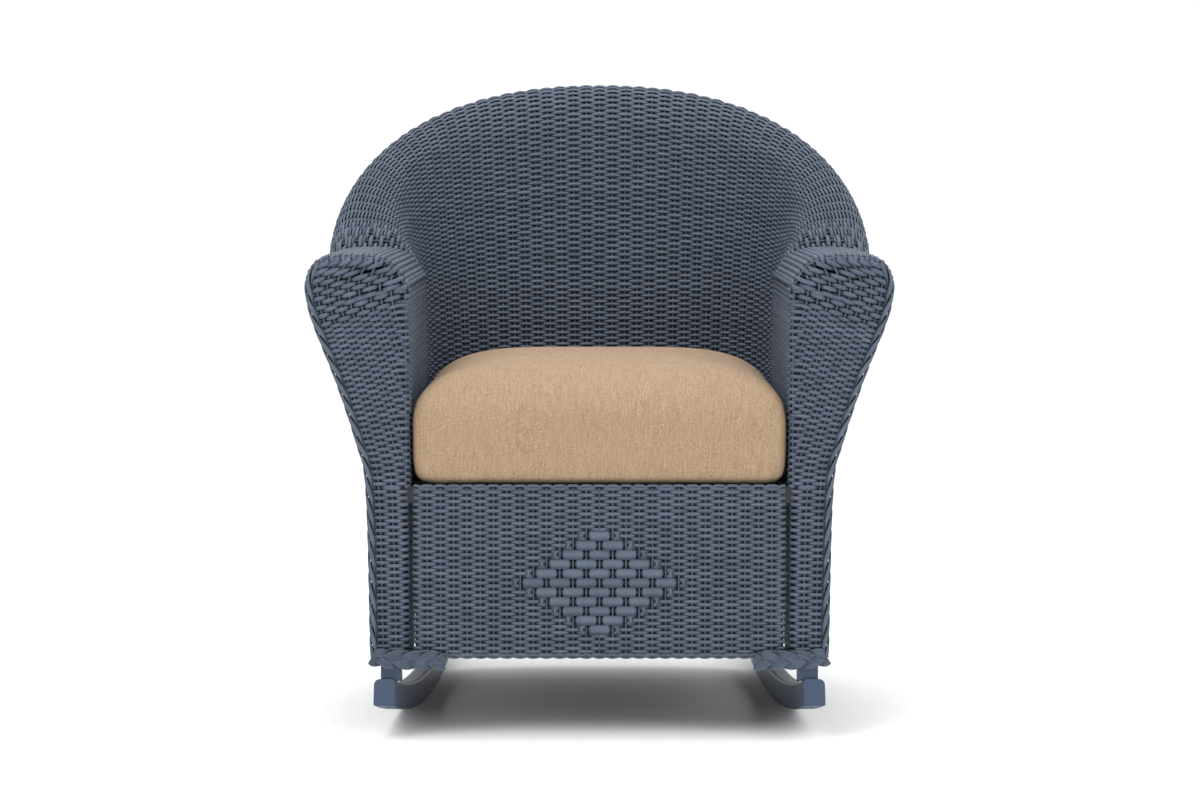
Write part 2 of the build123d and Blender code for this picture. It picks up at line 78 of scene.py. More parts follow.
def resample(line, distances):
    s = alongLine(line)
    return np.stack([np.interp(distances, s, line[:, i]) for i in range(3)], -1)


def makeMesh(name, vertices, quads, caps, uv, tone, paintedLightLevel):
    mesh = bpy.data.meshes.new(name)
    sides = caps.shape[1]
    loops = np.concatenate([quads.ravel(), caps.ravel()]).astype(np.int32)
    starts = np.concatenate(
        [np.arange(len(quads)) * 4, len(quads) * 4 + np.arange(len(caps)) * sides]
    ).astype(np.int32)
    mesh.vertices.add(len(vertices))
    mesh.vertices.foreach_set("co", vertices.astype(np.float32).ravel())
    mesh.loops.add(len(loops))
    mesh.loops.foreach_set("vertex_index", loops)
    mesh.polygons.add(len(starts))
    mesh.polygons.foreach_set("loop_start", starts)
    mesh.update(calc_edges=True)
    layer = mesh.uv_layers.new(name="strand")
    layer.data.foreach_set("uv", uv[loops].astype(np.float32).ravel())
    shade = mesh.attributes.new("tone", "FLOAT", "POINT")
    shade.data.foreach_set("value", tone.astype(np.float32))
    # painted light: per-point level read by the fibre material, low where a strand lies behind; it
    # drives the painted shade
    depth = mesh.attributes.new("paintedLightLevel", "FLOAT", "POINT")
    depth.data.foreach_set("value", paintedLightLevel.astype(np.float32))
    smooth = np.ones(len(starts), bool)
    smooth[len(quads) :] = False
    mesh.polygons.foreach_set("use_smooth", smooth)
    mesh.validate()
    obj = bpy.data.objects.new(name, mesh)
    bpy.context.scene.collection.objects.link(obj)
    return obj


def tubes(name, groups, sides=5):
    # each strand: ring point = centre + r (cos f * thin * N + sin f * wide * (T x N)),
    # f the angle round the strand
    parts = []
    count = 0
    for centre, normal, radius, thin, wide, paintedLightLevel in groups:
        rows, steps = centre.shape[:2]
        tangent = unit(np.gradient(centre, axis=1))
        side = unit(np.cross(tangent, normal))
        out = np.cross(side, tangent)
        angle = np.arange(sides) * 2 * np.pi / sides
        r = np.broadcast_to(radius, (rows, steps))[..., None, None]
        ring = (
            centre[:, :, None]
            + r * thin * np.cos(angle)[:, None] * out[:, :, None]
            + r * wide * np.sin(angle)[:, None] * side[:, :, None]
        )
        index = count + np.arange(rows * steps * sides).reshape(rows, steps, sides)
        turned = np.roll(index, -1, axis=2)
        quads = np.stack(
            [index[:, :-1], turned[:, :-1], turned[:, 1:], index[:, 1:]], -1
        ).reshape(-1, 4)
        caps = np.concatenate([index[:, 0, ::-1], index[:, -1]])
        length = alongLine(centre)
        uv = np.stack(np.broadcast_arrays(length[..., None], np.arange(sides) / sides), -1)
        tone = rng.uniform(0, 1, (rows, 1, 1)) * np.ones((1, steps, sides))
        paintedLightLevel = np.broadcast_to(paintedLightLevel, (rows, steps))[..., None] * np.ones(sides)
        vertices, uv = ring.reshape(-1, 3), uv.reshape(-1, 2)
        parts.append((vertices, quads, caps, uv, tone.ravel(), paintedLightLevel.ravel()))
        count += rows * steps * sides
    return makeMesh(name, *(np.concatenate(part) for part in zip(*parts)))


def mirrored(groups):
    # the same strands on the other side: x turned over, each strand run the other way
    flip = np.array([-1.0, 1, 1])
    return [
        (
            (c * flip)[:, ::-1],
            (n * flip)[:, ::-1],
            np.broadcast_to(r, c.shape[:2])[:, ::-1],
            thin,
            wide,
            np.broadcast_to(paintedLightLevel, c.shape[:2])[:, ::-1],
        )
        for c, n, r, thin, wide, paintedLightLevel in groups
    ]


# materials


def newMaterial(name, rough, sheen=0.0, specular=0.35):
    material = bpy.data.materials.new(name)
    material.use_nodes = True
    nodes = material.node_tree.nodes
    shader = nodes["Principled BSDF"]
    shader.inputs["Roughness"].default_value = rough
    shader.inputs["Specular IOR Level"].default_value = specular
    shader.inputs["Sheen Weight"].default_value = sheen
    return material, nodes, material.node_tree.links, shader


def ramp(nodes, links, source, low, high, start=0.25, end=0.75):
    node = nodes.new("ShaderNodeValToRGB")
    node.color_ramp.elements[0].position = start
    node.color_ramp.elements[0].color = (*low, 1)
    node.color_ramp.elements[1].position = end
    node.color_ramp.elements[1].color = (*high, 1)
    links.new(source, node.inputs["Fac"])
    return node.outputs["Color"]


def compute(nodes, links, operation, *values):
    node = nodes.new("ShaderNodeMath")
    node.operation = operation
    for slot, value in enumerate(values):
        if isinstance(value, float):
            node.inputs[slot].default_value = value
        else:
            links.new(value, node.inputs[slot])
    return node.outputs[0]


def noise(nodes, links, vector, scale, detail=3.0):
    node = nodes.new("ShaderNodeTexNoise")
    node.inputs["Scale"].default_value = scale
    node.inputs["Detail"].default_value = detail
    links.new(vector, node.inputs["Vector"])
    return node.outputs["Fac"]


def bump(nodes, links, shader, height, strength, distance):
    node = nodes.new("ShaderNodeBump")
    node.inputs["Strength"].default_value = strength
    node.inputs["Distance"].default_value = distance
    links.new(height, node.inputs["Height"])
    links.new(node.outputs["Normal"], shader.inputs["Normal"])


def fibreMaterial(look):
    # colour = noise over the strands mixed with each strand's own tone, times a painted shade that
    # darkens a strand where it dips behind a stake; bump = slanting ply lines, sin(2 pi (along /
    # ply length + plies * around))
    material, nodes, links, shader = newMaterial("wovenFibre", look["rough"])
    uv = nodes.new("ShaderNodeUVMap")
    uv.uv_map = "strand"
    split = nodes.new("ShaderNodeSeparateXYZ")
    links.new(uv.outputs["UV"], split.inputs[0])
    perLength, perRound = 2 * math.pi / look["plyLength"], 2 * math.pi * look["plies"]
    turns = compute(nodes, links, "MULTIPLY", split.outputs["X"], perLength)
    around = compute(nodes, links, "MULTIPLY_ADD", split.outputs["Y"], perRound, turns)
    wave = compute(nodes, links, "SINE", around)
    place = nodes.new("ShaderNodeTexCoord")
    patch = noise(nodes, links, place.outputs["Object"], look["patchScale"])
    own = nodes.new("ShaderNodeAttribute")
    own.attribute_name = "tone"
    mix = compute(nodes, links, "MULTIPLY_ADD", own.outputs["Fac"], look["toneShare"], patch)
    colour = ramp(nodes, links, mix, look["dark"], look["light"], 0.3, 1.0)
    # painted shade: the per-point attribute, low where a strand lies behind, pulls the colour down
    # towards the painted-shade colour
    paintedLightAttribute = nodes.new("ShaderNodeAttribute")
    paintedLightAttribute.attribute_name = "paintedLightLevel"
    paintedShadeRamp = ramp(
        nodes, links, paintedLightAttribute.outputs["Fac"], look["paintedShadeColour"], (1, 1, 1), *look["paintedShadeSpan"]
    )
    paintedShadeMix = nodes.new("ShaderNodeMix")
    paintedShadeMix.data_type = "RGBA"
    paintedShadeMix.blend_type = "MULTIPLY"
    paintedShadeMix.inputs["Factor"].default_value = 1.0
    links.new(colour, paintedShadeMix.inputs["A"])
    links.new(paintedShadeRamp, paintedShadeMix.inputs["B"])
    links.new(paintedShadeMix.outputs["Result"], shader.inputs["Base Color"])
    bump(nodes, links, shader, wave, look["plyBump"], 0.0004)
    return material


def paintMaterial(name, look):
    # even paint with a fine orange-peel bump and a faint wear in the tone
    material, nodes, links, shader = newMaterial(name, look["rough"])
    shader.inputs["Metallic"].default_value = look.get("metal", 0.0)
    place = nodes.new("ShaderNodeTexCoord")
    patch = noise(nodes, links, place.outputs["Object"], look["patchScale"])
    colour = ramp(nodes, links, patch, look["dark"], look["light"])
    links.new(colour, shader.inputs["Base Color"])
    grain = noise(nodes, links, place.outputs["Object"], look["grainScale"], 2.0)
    bump(nodes, links, shader, grain, look["grain"], 0.0003)
    return material


def clothMaterial(look):
    # yarns = product of two crossed sine gratings on the cushion's own coordinates;
    # fine noise and long slubs are added and break them up
    material, nodes, links, shader = newMaterial("cushionCloth", look["rough"], look["sheen"], 0.2)
    place = nodes.new("ShaderNodeTexCoord")
    split = nodes.new("ShaderNodeSeparateXYZ")
    links.new(place.outputs["Object"], split.inputs[0])

    def grating(axes, period):
        total = compute(nodes, links, "ADD", *(split.outputs[axis] for axis in axes))
        scaled = compute(nodes, links, "MULTIPLY", total, 2 * math.pi / period)
        return compute(nodes, links, "SINE", scaled)

    across = grating(("X", "X"), look["yarn"] * 2)
    along = grating(("Y", "Z"), look["yarn"])
    yarns = compute(nodes, links, "MULTIPLY", across, along)
    fine = noise(nodes, links, place.outputs["Object"], look["fineScale"], 4.0)
    stretch = nodes.new("ShaderNodeMapping")
    stretch.inputs["Scale"].default_value = (1.0, 0.12, 0.12)
    links.new(place.outputs["Object"], stretch.inputs["Vector"])
    slub = noise(nodes, links, stretch.outputs["Vector"], look["slubScale"], 4.0)
    yarnMix = compute(nodes, links, "MULTIPLY_ADD", yarns, look["yarnShare"], fine)
    mix = compute(nodes, links, "MULTIPLY_ADD", slub, look["slubShare"], yarnMix)
    colour = ramp(nodes, links, mix, look["dark"], look["light"], 0.45, 1.05)
    links.new(colour, shader.inputs["Base Color"])
    bump(nodes, links, shader, mix, look["bump"], 0.0006)
    return material


fibreLook = {
    "light": (0.081, 0.102, 0.141),
    "dark": (0.044, 0.059, 0.088),
    # painted shade: the colour strands take where they lie behind, and the attribute span over
    # which it fades out
    "paintedShadeColour": (0.08, 0.08, 0.09),
    "paintedShadeSpan": (0.12, 0.5),
    "rough": 0.55,
    "plyLength": 0.006,
    "plies": 2,
    "plyBump": 0.35,
    "patchScale": 60.0,
    "toneShare": 0.35,
}
paintLook = {
    "light": (0.036, 0.060, 0.106),
    "dark": (0.029, 0.049, 0.088),
    "rough": 0.42,
    "patchScale": 6.0,
    "grainScale": 500.0,
    "grain": 0.12,
}
# painted shade: the hidden frame parts are coloured near black to stand in for the shade in the
# gaps where they show
shadedFrameLook = {**paintLook, "light": (0.010, 0.013, 0.018), "dark": (0.007, 0.009, 0.013)}
steelLook = {
    "light": (0.50, 0.50, 0.50),
    "dark": (0.36, 0.36, 0.37),
    "rough": 0.35,
    "metal": 1.0,
    "patchScale": 80.0,
    "grainScale": 900.0,
    "grain": 0.1,
}
webLook = {
    "light": (0.030, 0.030, 0.033),
    "dark": (0.012, 0.012, 0.014),
    "rough": 0.8,
    "patchScale": 300.0,
    "grainScale": 1500.0,
    "grain": 0.6,
}
clothLook = {
    "light": (0.370, 0.264, 0.172),
    "dark": (0.190, 0.126, 0.074),
    "rough": 0.9,
    "sheen": 0.06,
    "yarn": 0.0022,
    "yarnShare": 0.16,
    "fineScale": 520.0,
    "slubScale": 420.0,
    "slubShare": 0.5,
    "bump": 0.5,
}
fibre = fibreMaterial(fibreLook)
paint = paintMaterial("framePaint", paintLook)
steel = paintMaterial("brightSteel", steelLook)
webbing = paintMaterial("seatWebbing", webLook)
cloth = clothMaterial(clothLook)
shadedFramePaint = paintMaterial("paintedShadeFrame", shadedFrameLook)


def dress(obj, material, body, nodes):
    obj.data.materials.append(material)
    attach(obj, body)
    if nodes:
        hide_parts(*nodes)


def weave(name, groups, nodes, sides=5):
    dress(tubes(name, groups, sides), fibre, "chair", nodes)


# the shell

shell = {
    "rimHalf": 0.387,
    "rimDepth": 0.303,
    "armHeight": 0.645,
    "backRise": 0.240,
    "seatHeight": 0.340,
    "seatHalf": 0.253,
    "seatDepth": 0.180,
    "armLength": 0.384,
    "backStakes": 30,
    "armStakes": 22,
    "wallRows": 57,
    "rollRows": 83,
    "rowPitch": 0.0043,
    "rimPower": 2.2,
    "seatPower": 3.6,
    "seatBulge": 0.346,
    "bulgePower": 3.89,
    "strand": 0.00205,
    "rollStrand": 0.00235,
    "thin": 0.82,
    "wide": 1.28,
    "stake": 0.0014,
    "wave": 0.0023,
    "thinnest": 0.0011,
    "rowFill": 0.51,
    "closestRows": 0.0026,
    "backEdge": 27.0,
    "earliestEnd": 20.5,
    "latestEnd": 31.5,
}
lastStake = shell["backStakes"] + shell["armStakes"]
perStake = 4  # table columns from stake to stake
checkedRow = 40  # its middle shows which way a sheet's normals point
# painted light level of a stake, above the end of the painted-shade ramp, so stakes get no painted
# shade
stakePaintedLight = 0.75  # how light a stake is

# rim curve of the back: x = half * cos^(2/p), y = depth * sin^(2/p),
# z = arm height + rise * sin^(2/p)
turn = np.linspace(np.pi / 2, 0, 4001)
power = 2 / shell["rimPower"]
rimLine = np.stack(
    [
        shell["rimHalf"] * np.cos(turn) ** power,
        shell["rimDepth"] * np.sin(turn) ** power,
        shell["armHeight"] + shell["backRise"] * np.sin(turn) ** power,
    ],
    -1,
)
rimLine[0, 0] = 0
rimArc = alongLine(rimLine)


def aroundRim(k):
    # angle, height share and arm run for stake number k on the right half
    share = np.clip(np.abs(k) / shell["backStakes"], 0, 1)
    angle = np.interp(share * rimArc[-1], rimArc, turn)
    run = np.clip(np.abs(k) - shell["backStakes"], 0, None) / shell["armStakes"]
    return angle, run * shell["armLength"]


# section through arm and back: share of the way from seat to rim, and height over the rim line
armShare = np.array([0, 0, 0.037, 0.149, 0.336, 0.724, 0.903, 0.993, 1.0])
armDrop = np.array([0, -0.060, -0.032, -0.010, 0, 0, -0.008, -0.027, -0.045])
backShare = np.array([0, 0.283, 0.399, 0.541, 0.667, 0.813, 1.0, 1.155, 1.22])
backDrop = np.array([0, -0.325, -0.235, -0.125, -0.050, -0.013, 0, -0.010, -0.030])


def innerProfiles(k):
    # profile point = base + (rim - base) * share, height = rim height + drop, both blended from
    # arm to back; base = seat curve with its half width at (1 + b) t - b t^p, t the rim's share
    angle, run = aroundRim(k)
    c, s = np.cos(angle), np.sin(angle)
    rimX, rimY = shell["rimHalf"] * c**power, shell["rimDepth"] * s**power
    level = s**power
    t = rimX / shell["rimHalf"]
    bulge = shell["seatBulge"]
    f = np.clip((1 + bulge) * t - bulge * t ** shell["bulgePower"], 0, 1)
    baseX = shell["seatHalf"] * f
    baseY = shell["seatDepth"] * (1 - f ** shell["seatPower"]) ** (1 / shell["seatPower"])
    level = level[:, None]
    share = armShare + (backShare - armShare) * level
    drop = armDrop + (backDrop - armDrop) * level
    x = baseX[:, None] + (rimX - baseX)[:, None] * share
    y = baseY[:, None] + (rimY - baseY)[:, None] * share - run[:, None]
    z = shell["armHeight"] + shell["backRise"] * level + drop
    z[:, 0] = shell["seatHeight"]
    side = np.sign(k)[:, None]
    return np.stack([x * side, y, z], -1)


def rowTable(profiles, firstRows, firstPitch, restRows):
    # rows climb each profile at one pitch for the first rows, then share the rest evenly
    table = []
    for line in smoothLine(profiles, 10):
        whole = alongLine(line)[-1]
        low = np.arange(firstRows) * firstPitch
        start = firstRows * firstPitch
        high = start + (whole - start) * np.arange(restRows) / (restRows - 1)
        table.append(resample(line, np.concatenate([low, high])))
    return np.stack(table, 1)


def surfaceNormals(table, facing):
    # normal = cross product of the row's run and the stakes' run, turned so that the middle of
    # the back faces the given way in y
    normals = unit(np.cross(np.gradient(table, axis=1), np.gradient(table, axis=0)))
    middleOfBack = normals[checkedRow, normals.shape[1] // 2]
    return normals * facing * np.sign(middleOfBack[1])


def strandRows(table, normals, rows, first, last, steps, size, lift):
    # plain weave between stake first and stake last of each row:
    # strand centre = surface + lift * cos(pi (stake + row)) * normal, radius half the row's gap
    centreIndex = (table.shape[1] - 1) / 2
    k = first[:, None] + (last - first)[:, None] * np.linspace(0, 1, steps)
    index = np.clip(k * perStake + centreIndex, 0, table.shape[1] - 1.0001)
    low = np.floor(index).astype(int)
    part = (index - low)[..., None]
    r = rows[:, None]
    point = table[r, low] * (1 - part) + table[r, low + 1] * part
    normal = unit(normals[r, low] * (1 - part) + normals[r, low + 1] * part)
    wave = np.cos(np.pi * (k + r))
    above = np.minimum(r + 1, table.shape[0] - 1)
    gap = np.linalg.norm(table[above, low] - table[r, low], axis=-1)
    radius = np.clip(shell["rowFill"] * gap, shell["thinnest"], size)
    centre = point + normal * (wave * lift)[..., None]
    # painted shade level: low where the wave takes the strand behind the sheet, so the material
    # darkens it there
    paintedLightLevel = 0.5 + 0.5 * wave
    return centre, normal, radius * (0.94 + 0.06 * wave), paintedLightLevel


def wovenGroup(points, normals, wave, size):
    # strand centre = surface + depth * wave * normal
    centre = points + normals * (wave * shell["wave"])[..., None]
    # the last value is the painted shade level, low where the strand dips behind
    return centre, normals, size, shell["thin"], shell["wide"], 0.5 + 0.5 * wave


stakeNumbers = np.arange(-lastStake * perStake, lastStake * perStake + 1) / perStake
innerTable = rowTable(
    innerProfiles(stakeNumbers), shell["wallRows"], shell["rowPitch"], shell["rollRows"]
)
innerTable[:, len(stakeNumbers) // 2, 0] = 0
innerNormal = surfaceNormals(innerTable, -1.0)
totalRows = innerTable.shape[0]
wallIndex = np.arange(shell["wallRows"])
rollIndex = np.arange(shell["wallRows"], totalRows - 1)
isKept = (rollIndex - shell["wallRows"]) % 3 == 0
keptIndex, endedIndex = rollIndex[isKept], rollIndex[~isKept]
backEdge = shell["backEdge"]


def backGroup(rows, edge, steps, thinnest=0.0):
    # rows across the back from stake -edge to stake edge, none thinner than the given radius
    edges = np.broadcast_to(np.asarray(edge, float), rows.shape)
    size = shell["strand"] if rows[0] == 0 else shell["rollStrand"]
    centre, normal, radius, paintedLightLevel = strandRows(
        innerTable, innerNormal, rows, -edges, edges, steps, size, shell["wave"]
    )
    radius = np.maximum(radius, thinnest)
    return centre, normal, radius, shell["thin"], shell["wide"], paintedLightLevel


backSteps = int(2 * backEdge * perStake) + 1
endedSteps = 193  # points along a row that ends
# two of three roll rows end, with some scatter, where the rows come too close to be woven
halfTable = innerTable[:, len(stakeNumbers) // 2 :]
crowding = np.linalg.norm(np.diff(halfTable[endedIndex[0] - 1 :, :], axis=0), axis=-1)
crowding = crowding[endedIndex - endedIndex[0] + 1]
isCrowded = crowding < shell["closestRows"]
isCrowded[:, -1] = True
endEdge = np.argmax(isCrowded, axis=1) / perStake + rng.uniform(-0.5, 1.5, len(endedIndex))
endEdge = np.round(endEdge - 0.5) + 0.5
endEdge = np.clip(endEdge, shell["earliestEnd"], shell["latestEnd"])
print("rows end at stakes", endEdge.min(), endEdge.max())


def stakeGroup(table, normals, numbers):
    # round stakes up the sheet at whole stake numbers
    columns = (table.shape[1] - 1) // 2 + numbers * perStake
    line = table[::2, columns].transpose(1, 0, 2)
    normal = normals[::2, columns].transpose(1, 0, 2)
    return line, normal, shell["stake"], 1.0, 1.0, stakePaintedLight


lowerBack = [backGroup(wallIndex, backEdge, backSteps)]
weave("backWeaveLower", lowerBack, ["back_weave_inner"])
upperBack = [
    backGroup(keptIndex, backEdge, backSteps, shell["thinnest"]),
    backGroup(endedIndex, endEdge, endedSteps),
]
weave("backWeaveUpper", upperBack, [])
backNumbers = np.arange(-int(backEdge), int(backEdge) + 1)
weave("backStakesInner", [stakeGroup(innerTable, innerNormal, backNumbers)], [])

shadeRibbon = {"depth": 0.0042, "halfWidth": 0.0085, "everyRow": 3, "outerTopRow": 108}


def shadeRibbonGroup(table, normals, rows):
    # flat ribbons a few millimetres behind a sheet, so no light comes through its joints; painted
    # shade: they take the full painted-shade colour, a dark sheet standing in for the shade behind
    # the weave
    facing = normals[rows, 6:-6:2]
    line = table[rows, 6:-6:2] - shadeRibbon["depth"] * facing
    # the last value 0 gives the full painted-shade colour
    return line, facing, shadeRibbon["halfWidth"], 0.1, 1.0, 0.0


shadeRibbonRows = np.arange(totalRows - 2, 2, -shadeRibbon["everyRow"])
weave("backShadeRibbons", [shadeRibbonGroup(innerTable, innerNormal, shadeRibbonRows)], [], 4)
print("back sheet woven")

# arms

armFront = {
    "plane": -0.3875,
    "corner": 0.013,
    "cornerLoss": 0.006,
    "bottom": 0.114,
    "topPitch": 0.0139,
    "lowPitch": 0.0172,
    "braidGap": 0.0065,
    "tipHeight": 0.632,
    "flatFrom": 0.276,
    "rollEnd": 0.366,
    "innerX": 0.2555,
    "innerBack": -0.245,
    "turnBack": 0.010,
    "stakeCount": 10,
    "steps": 41,
    "cornerSteps": 7,
}
# the outer contour of the arm front, bottom to tip
contour = np.array(
    [
        (0.303, 0.112),
        (0.308, 0.335),
        (0.321, 0.402),
        (0.347, 0.482),
        (0.378, 0.561),
        (0.3865, 0.600),
        (0.385, 0.618),
        (0.374, 0.637),
        (0.350, 0.645),
    ]
)
contourLine = smoothLine(contour, 10)
facingFront = np.array([0.0, -1, 0])
slopeHeights = [0.33, 0.45, 0.55, 0.62, 0.645]
slopeDegrees = [0, 10, 15, 21, 24]
# inner edge of the front's stakes near the top, as height and x
topEdge = np.array([(0.585, 0.262), (0.613, 0.266), (0.635, 0.281), (0.645, 0.30)])


def towardFront(line):
    return np.broadcast_to(facingFront, line.shape)


def slopeAt(z):
    # fall of a front row towards the braid, steeper near the top
    return np.tan(np.radians(np.interp(z, slopeHeights, slopeDegrees)))


def pitchAt(z):
    # distance between stakes, closer near the top
    return np.interp(z, [0.35, 0.48], [armFront["lowPitch"], armFront["topPitch"]])


def contourX(z):
    # x of the contour at height z, less the room for the braid; the tip, which turns back
    # inwards, is read apart
    outer, tip = contourLine[:60], contourLine[50:]
    x = np.interp(z, outer[:, 1], outer[:, 0])
    high = np.interp(z, tip[:, 1], tip[:, 0])
    return np.where(z > outer[-1, 1], high, x) - armFront["braidGap"]


def cornerRadius(normalXZ):
    # rounder on the upright edge than over the top
    return armFront["corner"] - armFront["cornerLoss"] * np.abs(normalXZ[:, 1])


def frontRun(startX, startZ, normalXZ, spreadEnds):
    # straight lines over the front: from the corner outwards and down to the contour
    slope = slopeAt(startZ)
    rho = cornerRadius(normalXZ)
    cornerX = startX - normalXZ[:, 0] * rho
    cornerZ = startZ - normalXZ[:, 1] * rho
    reach = np.linspace(0, 0.2, 801)
    tryX = cornerX[:, None] + reach
    tryZ = cornerZ[:, None] - slope[:, None] * reach
    past = tryX > contourX(tryZ)
    length = reach[np.argmax(past, axis=1)]
    share = np.linspace(0, 1, armFront["steps"])
    endX = cornerX + length
    endZ = cornerZ - slope * length
    if spreadEnds is not None:
        # the rows over the roll end evenly up the contour, as far as the tip
        height = np.linspace(spreadEnds[0], spreadEnds[1], 400)
        rise = np.stack([contourX(height), 0 * height, height], -1)
        ends = resample(rise, np.linspace(0, alongLine(rise)[-1], len(startX)))
        endX, endZ = ends[:, 0], ends[:, 2]
    x = cornerX[:, None] + (endX - cornerX)[:, None] * share
    z = cornerZ[:, None] + (endZ - cornerZ)[:, None] * share
    return x, z


def frontStrands(rows, rank, spreadEnds=None):
    # each row runs along the inner wall, round a quarter circle and over the front;
    # wave = cos(pi (phase + row)), the phase counted in stakes
    centreIndex = (innerTable.shape[1] - 1) // 2
    begin = centreIndex + int(backEdge * perStake)
    stop = centreIndex + lastStake * perStake - 3
    point = innerTable[rows, begin:stop]
    normal = innerNormal[rows, begin:stop]
    k = np.broadcast_to(stakeNumbers[begin:stop], point.shape[:2])
    edge, edgeNormal = innerTable[rows, -1], innerNormal[rows, -1]
    flatNormal = unit(edgeNormal * np.array([1.0, 0, 1.0]))
    x, z = frontRun(edge[:, 0], edge[:, 2], flatNormal[:, [0, 2]], spreadEnds)
    near = np.linspace(0.0, 1, armFront["cornerSteps"])
    bend = near * np.pi / 2
    rho = cornerRadius(flatNormal[:, [0, 2]])
    heart = edge - flatNormal * rho[:, None]
    heart[:, 1] = armFront["plane"] + rho
    ring = (
        heart[:, None]
        + rho[:, None, None] * np.cos(bend)[:, None] * flatNormal[:, None]
        + rho[:, None, None] * np.sin(bend)[:, None] * facingFront
    )
    ringNormal = unit(ring - heart[:, None])
    front = np.stack([x, np.full_like(x, armFront["plane"]), z], -1)[:, 1:]
    frontNormal = towardFront(front)
    # the phase is the stake number inside and the distance from the contour on the front;
    # round the corner it shifts by 0.2 to 2.2 stakes, so that over and under meet
    pitch = pitchAt(z[:, 1:])
    outPhase = -(contourX(z[:, 1:]) - x[:, 1:]) / pitch - 0.5 + (rank - rows)[:, None]
    inPhase = lastStake - 0.6
    shift = outPhase[:, :1] - inPhase - 1.2
    shift = shift - 2 * np.round(shift / 2) + 1.2
    cornerPhase = inPhase + near * shift
    wholeTurns = 2 * np.round((outPhase[:, :1] - cornerPhase[:, -1:]) / 2)
    frontPhase = outPhase - wholeTurns
    points = np.concatenate([point, ring, front], 1)
    normals = np.concatenate([normal, ringNormal, frontNormal], 1)
    phase = np.concatenate([k, cornerPhase, frontPhase], 1)
    wave = np.cos(np.pi * (phase + np.asarray(rows)[:, None]))
    return points, normals, wave


def armGroups():
    wall = frontStrands(wallIndex, wallIndex)
    # on the flat top every second roll row goes on over the front
    edgeX = innerTable[keptIndex, -1, 0]
    isSecond = np.arange(len(keptIndex)) % 2 == 0
    goesOn = (edgeX < armFront["rollEnd"]) & ((edgeX <= armFront["flatFrom"]) | isSecond)
    on, rest = keptIndex[goesOn], keptIndex[~goesOn]
    onRank = shell["wallRows"] + np.arange(len(on))
    lastWall = wall[0][-1, -1, 2]
    roll = frontStrands(on, onRank, (lastWall + 0.005, armFront["tipHeight"]))
    # the rest of the roll rows turn under the front edge
    ends = [part[:, : 2 - armFront["steps"]] for part in frontStrands(rest, rest)]
    size = shell["strand"]
    groups = [
        wovenGroup(*wall, size),
        wovenGroup(*roll, size * 1.25),
        wovenGroup(*ends, size * 1.12),
    ]
    # rows below the seat: a short return on the inner side, then across the front
    low = np.arange(armFront["bottom"], shell["seatHeight"] - 0.002, shell["rowPitch"])
    innerX, turnBack = armFront["innerX"], armFront["turnBack"]
    back = np.linspace(armFront["innerBack"], armFront["plane"] + turnBack, 31)
    inner = np.stack(np.broadcast_arrays(innerX, back[None], low[:, None]), -1)
    bend = np.array([0.3, 0.7]) * np.pi / 2
    cornerX = innerX + turnBack * (1 - np.cos(bend))
    cornerY = armFront["plane"] + turnBack * (1 - np.sin(bend))
    ring = np.stack(np.broadcast_arrays(cornerX, cornerY, low[:, None]), -1)
    nearX = innerX + turnBack
    x = nearX + (contourX(low) - nearX)[:, None] * np.linspace(0, 1, 14)
    front = np.stack(np.broadcast_arrays(x, armFront["plane"], low[:, None]), -1)
    points = np.concatenate([inner, ring, front], 1)
    normals = np.concatenate(
        [
            np.broadcast_to(np.array([-1.0, 0, 0]), inner.shape),
            np.broadcast_to(
                np.stack([-np.cos(bend), -np.sin(bend), 0 * bend], -1), ring.shape
            ),
            towardFront(front),
        ],
        1,
    )
    distance = alongLine(points)
    phase = (distance - distance[:, -1:]) / armFront["lowPitch"] - 0.5
    wave = np.cos(np.pi * (phase + np.arange(len(low))[:, None]))
    groups.append(wovenGroup(points, normals, wave, size))
    # stakes: on the wall and roll by number, on the front side by side with the contour
    numbers = np.arange(int(backEdge) + 1, lastStake)
    groups.append(stakeGroup(innerTable, innerNormal, numbers))
    edge, edgeNormal = innerTable[::2, -1], innerNormal[::2, -1]
    edgeNormal = unit(edgeNormal * np.array([1.0, 0, 1.0]))
    # the corner stake lies half way round the quarter circle: 0.29 r in from both faces
    rho = cornerRadius(edgeNormal[:, [0, 2]])[:, None]
    cornerStake = edge - edgeNormal * rho * 0.29
    cornerStake[:, 1] = armFront["plane"] + rho[:, 0] * 0.29
    facing = unit(edgeNormal + facingFront)
    groups.append((cornerStake[None], facing[None], shell["stake"], 1.0, 1.0, stakePaintedLight))
    for i in range(armFront["stakeCount"]):
        height = np.linspace(armFront["bottom"] - 0.002, 0.643, 120)
        x = contourX(height) - (i + 0.5) * pitchAt(height)
        onFront = x > np.interp(height, topEdge[:, 0], topEdge[:, 1])
        if onFront.sum() > 6:
            plane = np.full(onFront.sum(), armFront["plane"])
            line = np.stack([x[onFront], plane, height[onFront]], -1)
            line = resample(line, np.linspace(0, 1, 60) * alongLine(line)[-1])[None]
            groups.append((line, towardFront(line), shell["stake"], 1.0, 1.0, stakePaintedLight))
    return groups


rightArm = armGroups()
weave("armWeaveRight", rightArm, ["arm_weave_right", "arm_front_right"])
weave("armWeaveLeft", mirrored(rightArm), ["arm_weave_left", "arm_front_left"])
print("arms woven")

# outer side

outer = {
    "rowPitch": 0.0044,
    "strand": 0.0024,
    "wave": 0.0016,
    "inset": 0.003,
    "split": 28.0,
    "firstUpperRow": 100,
    "stakeSteps": 70,
}
